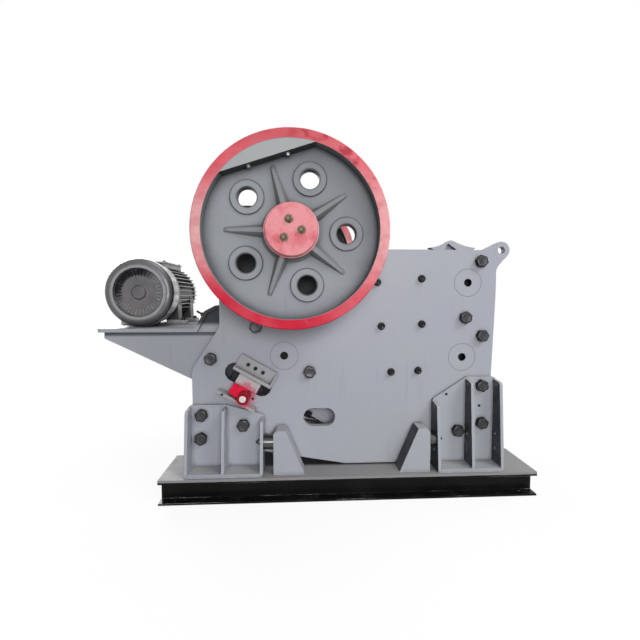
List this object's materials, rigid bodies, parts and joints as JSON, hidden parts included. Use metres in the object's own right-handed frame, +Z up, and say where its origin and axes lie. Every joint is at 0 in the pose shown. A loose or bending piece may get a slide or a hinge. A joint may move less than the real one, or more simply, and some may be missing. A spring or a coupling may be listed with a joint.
{
  "type": "jaw crusher",
  "caption": "Single-toggle jaw crusher with a spoked flywheel each side, bolted side plates, toothed jaws, a motor on a rear bracket and a grooved drive wheel for belts, on a steel base.",
  "frame": {"origin": "on the floor, at the centre of the rectangle of anchor-bolt holes in the base's outer beams, which is the middle of the base", "axes": "+X towards the feed end, along the base; +Y across the machine, from the plain flywheel to the grooved drive wheel; +Z up"},
  "size_m": [3.7799, 2.156, 2.892],
  "materials": {
    "machine_grey": "semi-gloss grey paint",
    "wheel_grey": "semi-gloss grey paint, red rim faces",
    "cap_red": "semi-gloss red paint",
    "jaw_steel": "raw cast manganese steel",
    "bare_steel": "machined steel",
    "base_black": "gloss black paint",
    "base_grey": "semi-gloss grey paint",
    "rubber_black": "matt rubber",
    "motor_grey": "silver-grey enamel"
  },
  "bodies": {
    "frame": {"base_plate_far": "base_grey", "base_plate_near": "base_grey", "bearing_housing_far": "machine_grey", "bearing_housing_near": "machine_grey", "buffers_far": "rubber_black", "buffers_near": "rubber_black", "cheek_plates_far": "jaw_steel", "cheek_plates_near": "jaw_steel", "cross_beams": "base_black", "fixed_jaw_plate": "jaw_steel", "front_bracket_far": "machine_grey", "front_bracket_near": "machine_grey", "front_frame": "machine_grey", "front_lug": "machine_grey", "jaw_clamp": "machine_grey", "locating_pins_far": "machine_grey", "locating_pins_near": "machine_grey", "lower_guide_far": "machine_grey", "lower_guide_near": "machine_grey", "motor_body": "motor_grey", "motor_fan_cover": "motor_grey", "motor_plate": "machine_grey", "motor_pulley": "jaw_steel", "motor_shaft": "bare_steel", "motor_web_far": "machine_grey", "motor_web_near": "machine_grey", "rear_bracket_far": "machine_grey", "rear_bracket_near": "machine_grey", "rear_frame": "machine_grey", "setting_cylinder_far": "cap_red", "setting_cylinder_near": "cap_red", "setting_rod_far": "bare_steel", "setting_rod_near": "bare_steel", "setting_wedge": "bare_steel", "side_plate_far": "machine_grey", "side_plate_near": "machine_grey", "sill_beams_far": "base_black", "sill_beams_near": "base_black", "stop_blocks_far": "machine_grey", "stop_blocks_near": "machine_grey", "swing_jaw": "machine_grey", "swing_jaw_plate": "jaw_steel", "tension_rod": "bare_steel", "tension_spring": "bare_steel", "terminal_box": "motor_grey", "toggle_plate": "machine_grey", "upper_guide_far": "machine_grey", "upper_guide_near": "machine_grey"},
    "rotor": {"balance_weight_far": "machine_grey", "balance_weight_near": "machine_grey", "drive_wheel": "wheel_grey", "eccentric_shaft": "bare_steel", "flywheel": "wheel_grey", "hub_cap_far": "cap_red", "hub_cap_near": "cap_red"}
  },
  "joints": [
    {"name": "flywheel_spin", "type": "hinge", "parent": "frame", "child": "rotor", "pos_m": [-0.484, 0, 2.157], "axis": [0, 1, 0], "continuous": true}
  ]
}
